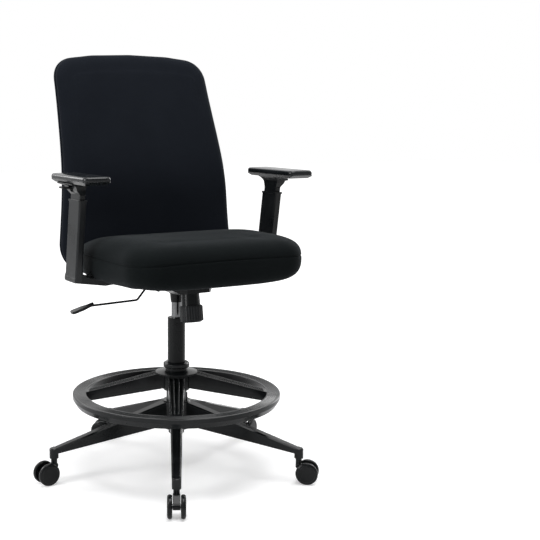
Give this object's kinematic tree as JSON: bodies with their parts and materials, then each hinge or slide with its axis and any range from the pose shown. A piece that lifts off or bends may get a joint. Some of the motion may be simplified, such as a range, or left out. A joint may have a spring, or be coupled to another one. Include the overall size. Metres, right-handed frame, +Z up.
{
  "type": "drafting chair",
  "caption": "Tall swivel drafting chair with a padded seat and back, adjustable arms, a foot ring and a star base on casters.",
  "frame": {"origin": "on the floor, directly under the column's axis", "axes": "+Z up along the column, -Y the way the sitter faces, +X to the chair's own left-hand side"},
  "size_m": [0.7846, 0.7752, 1.184],
  "materials": {
    "nylon": "satin moulded",
    "moulded_plastic": "fine grain",
    "wheel_plastic": "smooth",
    "soft_pad": "soft matte skin",
    "black_steel": "powder coat",
    "bright_steel": "bright",
    "chrome": "polished",
    "upholstery": "tight woven cloth over foam"
  },
  "bodies": {
    "base": {"star_base": "nylon", "column_tube": "black_steel", "column_bushing": "nylon", "thrust_bearing": "bright_steel"},
    "foot_ring": {"foot_ring": "nylon", "foot_ring_collet": "moulded_plastic"},
    "foot_ring_collar": {"foot_ring_collar": "nylon"},
    "lift_rod": {"piston_rod": "bright_steel"},
    "lift": {"gas_cylinder": "chrome", "tilt_housing": "black_steel", "tilt_pivot_pin": "bright_steel", "spring_shroud": "nylon", "tension_spring": "bright_steel"},
    "release_pin": {"release_pin": "bright_steel"},
    "height_lever": {"height_lever": "black_steel", "lever_paddle": "nylon"},
    "tension_bolt": {"tension_bolt": "bright_steel"},
    "tension_knob": {"tension_knob": "moulded_plastic"},
    "seat": {"seat_plate": "black_steel", "seat_pan": "nylon", "seat_cushion": "upholstery", "back_bracket": "black_steel", "back_shell": "nylon", "back_cushion": "upholstery", "back_rear_cushion": "upholstery", "frame_bolts": "bright_steel", "arm_bracket_left": "black_steel", "arm_bracket_right": "black_steel", "arm_sleeve_left": "moulded_plastic", "arm_sleeve_right": "moulded_plastic"},
    "arm_left": {"arm_post_left": "moulded_plastic", "arm_pad_base_left": "moulded_plastic", "arm_pad_left": "soft_pad"},
    "arm_trigger_left": {"arm_trigger_left": "moulded_plastic"},
    "arm_right": {"arm_post_right": "moulded_plastic", "arm_pad_base_right": "moulded_plastic", "arm_pad_right": "soft_pad"},
    "arm_trigger_right": {"arm_trigger_right": "moulded_plastic"},
    "caster_1": {"caster_1_pins": "bright_steel", "caster_1_body": "nylon"},
    "caster_1_wheel_left": {"caster_1_wheel_left": "wheel_plastic"},
    "caster_1_wheel_right": {"caster_1_wheel_right": "wheel_plastic"},
    "caster_2": {"caster_2_pins": "bright_steel", "caster_2_body": "nylon"},
    "caster_2_wheel_left": {"caster_2_wheel_left": "wheel_plastic"},
    "caster_2_wheel_right": {"caster_2_wheel_right": "wheel_plastic"},
    "caster_3": {"caster_3_pins": "bright_steel", "caster_3_body": "nylon"},
    "caster_3_wheel_left": {"caster_3_wheel_left": "wheel_plastic"},
    "caster_3_wheel_right": {"caster_3_wheel_right": "wheel_plastic"},
    "caster_4": {"caster_4_pins": "bright_steel", "caster_4_body": "nylon"},
    "caster_4_wheel_left": {"caster_4_wheel_left": "wheel_plastic"},
    "caster_4_wheel_right": {"caster_4_wheel_right": "wheel_plastic"},
    "caster_5": {"caster_5_pins": "bright_steel", "caster_5_body": "nylon"},
    "caster_5_wheel_left": {"caster_5_wheel_left": "wheel_plastic"},
    "caster_5_wheel_right": {"caster_5_wheel_right": "wheel_plastic"}
  },
  "joints": [
    {"name": "foot_ring_height", "type": "slide", "parent": "base", "child": "foot_ring", "axis": [0, 0, 1], "range_m": [0, 0.11]},
    {"name": "foot_ring_lock", "type": "hinge", "parent": "foot_ring", "child": "foot_ring_collar", "pos_m": [0, 0, 0.305], "axis": [0, 0, 1], "range_deg": [0, 60]},
    {"name": "seat_swivel", "type": "hinge", "parent": "base", "child": "lift_rod", "pos_m": [0, 0, 0.2], "axis": [0, 0, 1], "continuous": true},
    {"name": "seat_height", "type": "slide", "parent": "lift_rod", "child": "lift", "axis": [0, 0, 1], "range_m": [-0.038, 0.2]},
    {"name": "lever_lift", "type": "hinge", "parent": "lift", "child": "height_lever", "pos_m": [-0.052, -0.005, 0.545], "axis": [0, 1, 0], "range_deg": [0, 3.3], "stiffness_Nm_per_rad": 5, "springref_deg": -8.59},
    {"name": "release_press", "type": "slide", "parent": "lift", "child": "release_pin", "axis": [0, 0, -1], "range_m": [0, 0.0036]},
    {"name": "tension_bolt_lift", "type": "slide", "parent": "lift", "child": "tension_bolt", "axis": [0, 0.1564, 0.9877], "range_m": [0, 0.009], "deforming": ["tension_spring"]},
    {"name": "tension_adjust", "type": "hinge", "parent": "tension_bolt", "child": "tension_knob", "pos_m": [0, -0.092, 0.447], "axis": [0, 0.1564, 0.9877], "continuous": true},
    {"name": "seat_tilt", "type": "hinge", "parent": "lift", "child": "seat", "pos_m": [0, -0.035, 0.543], "axis": [-1, 0, 0], "range_deg": [0, 12], "stiffness_Nm_per_rad": 120, "springref_deg": -22.92},
    {"name": "arm_height_left", "type": "slide", "parent": "seat", "child": "arm_left", "axis": [0, -0.165, 0.9863], "range_m": [0, 0.07]},
    {"name": "arm_trigger_left", "type": "hinge", "parent": "arm_left", "child": "arm_trigger_left", "pos_m": [0.3183, -0.01798, 0.82051], "axis": [0, -1, 0], "range_deg": [0, 6], "stiffness_Nm_per_rad": 0.5, "springref_deg": -8.59},
    {"name": "arm_height_right", "type": "slide", "parent": "seat", "child": "arm_right", "axis": [0, -0.165, 0.9863], "range_m": [0, 0.07]},
    {"name": "arm_trigger_right", "type": "hinge", "parent": "arm_right", "child": "arm_trigger_right", "pos_m": [-0.3183, -0.01798, 0.82051], "axis": [0, 1, 0], "range_deg": [0, 6], "stiffness_Nm_per_rad": 0.5, "springref_deg": -8.59},
    {"name": "caster_1_swivel", "type": "hinge", "parent": "base", "child": "caster_1", "pos_m": [-0.16713, -0.31433, 0.07], "axis": [0, 0, 1], "continuous": true},
    {"name": "caster_1_roll_left", "type": "hinge", "parent": "caster_1", "child": "caster_1_wheel_left", "pos_m": [-0.1784, -0.33552, 0.031], "axis": [0.8829, -0.4695, 0], "continuous": true},
    {"name": "caster_1_roll_right", "type": "hinge", "parent": "caster_1", "child": "caster_1_wheel_right", "pos_m": [-0.1784, -0.33552, 0.031], "axis": [0.8829, -0.4695, 0], "continuous": true},
    {"name": "caster_2_swivel", "type": "hinge", "parent": "base", "child": "caster_2", "pos_m": [0.2473, -0.25609, 0.07], "axis": [0, 0, 1], "continuous": true},
    {"name": "caster_2_roll_left", "type": "hinge", "parent": "caster_2", "child": "caster_2_wheel_left", "pos_m": [0.26568, -0.27151, 0.031], "axis": [0.6428, 0.766, 0], "continuous": true},
    {"name": "caster_2_roll_right", "type": "hinge", "parent": "caster_2", "child": "caster_2_wheel_right", "pos_m": [0.26568, -0.27151, 0.031], "axis": [0.6428, 0.766, 0], "continuous": true},
    {"name": "caster_3_swivel", "type": "hinge", "parent": "base", "child": "caster_3", "pos_m": [0.31997, 0.15606, 0.07], "axis": [0, 0, 1], "continuous": true},
    {"name": "caster_3_roll_left", "type": "hinge", "parent": "caster_3", "child": "caster_3_wheel_left", "pos_m": [0.34032, 0.16878, 0.031], "axis": [-0.5299, 0.848, 0], "continuous": true},
    {"name": "caster_3_roll_right", "type": "hinge", "parent": "caster_3", "child": "caster_3_wheel_right", "pos_m": [0.34032, 0.16878, 0.031], "axis": [-0.5299, 0.848, 0], "continuous": true},
    {"name": "caster_4_swivel", "type": "hinge", "parent": "base", "child": "caster_4", "pos_m": [-0.04955, 0.35253, 0.07], "axis": [0, 0, 1], "continuous": true},
    {"name": "caster_4_roll_left", "type": "hinge", "parent": "caster_4", "child": "caster_4_wheel_left", "pos_m": [-0.06846, 0.36731, 0.031], "axis": [-0.6157, -0.788, 0], "continuous": true},
    {"name": "caster_4_roll_right", "type": "hinge", "parent": "caster_4", "child": "caster_4_wheel_right", "pos_m": [-0.06846, 0.36731, 0.031], "axis": [-0.6157, -0.788, 0], "continuous": true},
    {"name": "caster_5_swivel", "type": "hinge", "parent": "base", "child": "caster_5", "pos_m": [-0.35059, 0.06182, 0.07], "axis": [0, 0, 1], "continuous": true},
    {"name": "caster_5_roll_left", "type": "hinge", "parent": "caster_5", "child": "caster_5_wheel_left", "pos_m": [-0.37446, 0.05931, 0.031], "axis": [0.1045, -0.9945, 0], "continuous": true},
    {"name": "caster_5_roll_right", "type": "hinge", "parent": "caster_5", "child": "caster_5_wheel_right", "pos_m": [-0.37446, 0.05931, 0.031], "axis": [0.1045, -0.9945, 0], "continuous": true}
  ],
  "couplings": [
    {"joint": "release_press", "follows": "lever_lift", "m_per_rad": 0.0545},
    {"joint": "tension_bolt_lift", "follows": "seat_tilt", "m_per_rad": 0.041}
  ]
}
